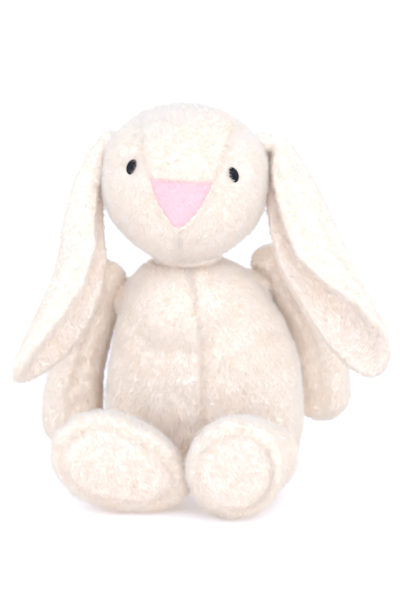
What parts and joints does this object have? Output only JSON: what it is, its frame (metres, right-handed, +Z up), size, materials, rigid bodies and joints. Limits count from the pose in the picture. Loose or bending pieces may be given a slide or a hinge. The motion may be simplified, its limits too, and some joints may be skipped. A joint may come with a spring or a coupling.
{
  "type": "plush rabbit",
  "caption": "Sitting cream plush rabbit with long lop ears, bead eyes, a pink nose patch, hanging arms and rounded feet, filled with fibre and pellets.",
  "frame": {"origin": "middle of the flat seat panel, on the table under the body", "axes": "+Z up, -Y the way the rabbit faces (so +Y is towards its tail), +X towards the rabbit's own left"},
  "size_m": [0.2213, 0.1902, 0.225],
  "materials": {
    "plush_cream": "short dense cream white pile",
    "plush_ear": "short pile ear lining, slightly peach",
    "plush_sole": "short cream pile on the soles",
    "plush_pink": "very short pink pile",
    "fibre_fill": "white polyester fibre",
    "bag_cloth": "plain woven white cloth",
    "pellets": "translucent white beads",
    "eye_black": "polished black bead",
    "washer_plastic": "moulded white washer",
    "thread_cream": "twisted sewing thread"
  },
  "bodies": {
    "torso": {"torso_front_left": "plush_cream", "torso_front_right": "plush_cream", "torso_back_left": "plush_cream", "torso_back_right": "plush_cream", "seat_panel": "plush_cream", "torso_stuffing": "fibre_fill", "pellet_bag_cloth": "bag_cloth", "pellet_fill": "pellets", "closing_stitch": "thread_cream", "tail_stitch": "thread_cream"},
    "neck": {"neck_stitching": "thread_cream"},
    "head": {"head_gusset": "plush_cream", "nose_patch": "plush_pink", "head_side_left": "plush_cream", "head_side_right": "plush_cream", "head_stuffing": "fibre_fill", "left_eye": "eye_black", "right_eye": "eye_black", "left_eye_washer": "washer_plastic", "right_eye_washer": "washer_plastic"},
    "left_ear_root": {"left_ear_root_stitch": "thread_cream"},
    "left_ear": {"left_ear_front": "plush_ear", "left_ear_back": "plush_cream"},
    "left_shoulder": {"left_arm_seam": "thread_cream"},
    "left_arm": {"left_arm_outer": "plush_cream", "left_arm_inner": "plush_cream", "left_arm_stuffing": "fibre_fill"},
    "left_hip": {"left_leg_seam": "thread_cream"},
    "left_leg": {"left_leg_outer": "plush_cream", "left_leg_inner": "plush_cream", "left_foot_sole": "plush_sole", "left_leg_stuffing": "fibre_fill"},
    "right_ear_root": {"right_ear_root_stitch": "thread_cream"},
    "right_ear": {"right_ear_front": "plush_ear", "right_ear_back": "plush_cream"},
    "right_shoulder": {"right_arm_seam": "thread_cream"},
    "right_arm": {"right_arm_outer": "plush_cream", "right_arm_inner": "plush_cream", "right_arm_stuffing": "fibre_fill"},
    "right_hip": {"right_leg_seam": "thread_cream"},
    "right_leg": {"right_leg_outer": "plush_cream", "right_leg_inner": "plush_cream", "right_foot_sole": "plush_sole", "right_leg_stuffing": "fibre_fill"},
    "tail": {"tail_pompom": "plush_cream"}
  },
  "joints": [
    {"name": "neck_turn", "type": "hinge", "parent": "torso", "child": "neck", "pos_m": [-0.0078, -0.004, 0.1348], "axis": [0, 0, 1], "range_deg": [-12, 12]},
    {"name": "neck_nod", "type": "hinge", "parent": "neck", "child": "head", "pos_m": [-0.0078, -0.004, 0.1348], "axis": [1, 0, 0], "range_deg": [-10, 6]},
    {"name": "left_ear_swing", "type": "hinge", "parent": "head", "child": "left_ear_root", "pos_m": [0.03958, 0.00467, 0.20191], "axis": [-0.8717, -0.2646, -0.4126], "range_deg": [-2, 40]},
    {"name": "left_ear_lift", "type": "hinge", "parent": "left_ear_root", "child": "left_ear", "pos_m": [0.03958, 0.00467, 0.20191], "axis": [0, -1, 0], "range_deg": [0, 60]},
    {"name": "left_arm_swing", "type": "hinge", "parent": "torso", "child": "left_shoulder", "pos_m": [0.04348, 0.02198, 0.12421], "axis": [-0.7022, -0.401, -0.5883], "range_deg": [-30, 10]},
    {"name": "left_arm_lift", "type": "hinge", "parent": "left_shoulder", "child": "left_arm", "pos_m": [0.04348, 0.02198, 0.12421], "axis": [0, -1, 0], "range_deg": [0, 30]},
    {"name": "left_leg_turn", "type": "hinge", "parent": "torso", "child": "left_hip", "pos_m": [0.03738, -0.05839, 0.02691], "axis": [0.3691, -0.9294, 0], "range_deg": [-6, 2]},
    {"name": "left_leg_raise", "type": "hinge", "parent": "left_hip", "child": "left_leg", "pos_m": [0.03738, -0.05839, 0.02691], "axis": [-1, 0, 0], "range_deg": [-6, 8]},
    {"name": "right_ear_swing", "type": "hinge", "parent": "head", "child": "right_ear_root", "pos_m": [-0.05584, 0.00798, 0.20245], "axis": [-0.8655, 0.3245, 0.3815], "range_deg": [-2, 40]},
    {"name": "right_ear_lift", "type": "hinge", "parent": "right_ear_root", "child": "right_ear", "pos_m": [-0.05584, 0.00798, 0.20245], "axis": [0, 1, 0], "range_deg": [0, 50]},
    {"name": "right_arm_swing", "type": "hinge", "parent": "torso", "child": "right_shoulder", "pos_m": [-0.0568, 0.01691, 0.11516], "axis": [-0.8941, 0.3073, 0.3259], "range_deg": [-30, 10]},
    {"name": "right_arm_lift", "type": "hinge", "parent": "right_shoulder", "child": "right_arm", "pos_m": [-0.0568, 0.01691, 0.11516], "axis": [0, 1, 0], "range_deg": [0, 45]},
    {"name": "right_leg_turn", "type": "hinge", "parent": "torso", "child": "right_hip", "pos_m": [-0.044, -0.0527, 0.02691], "axis": [-0.5066, -0.8622, 0], "range_deg": [-6, 2]},
    {"name": "right_leg_raise", "type": "hinge", "parent": "right_hip", "child": "right_leg", "pos_m": [-0.044, -0.0527, 0.02691], "axis": [-1, 0, 0], "range_deg": [-6, 8]},
    {"name": "tail_wag", "type": "hinge", "parent": "torso", "child": "tail", "pos_m": [0.00257, 0.0498, 0.02979], "axis": [0, 0, 1], "range_deg": [-8, 8]}
  ]
}
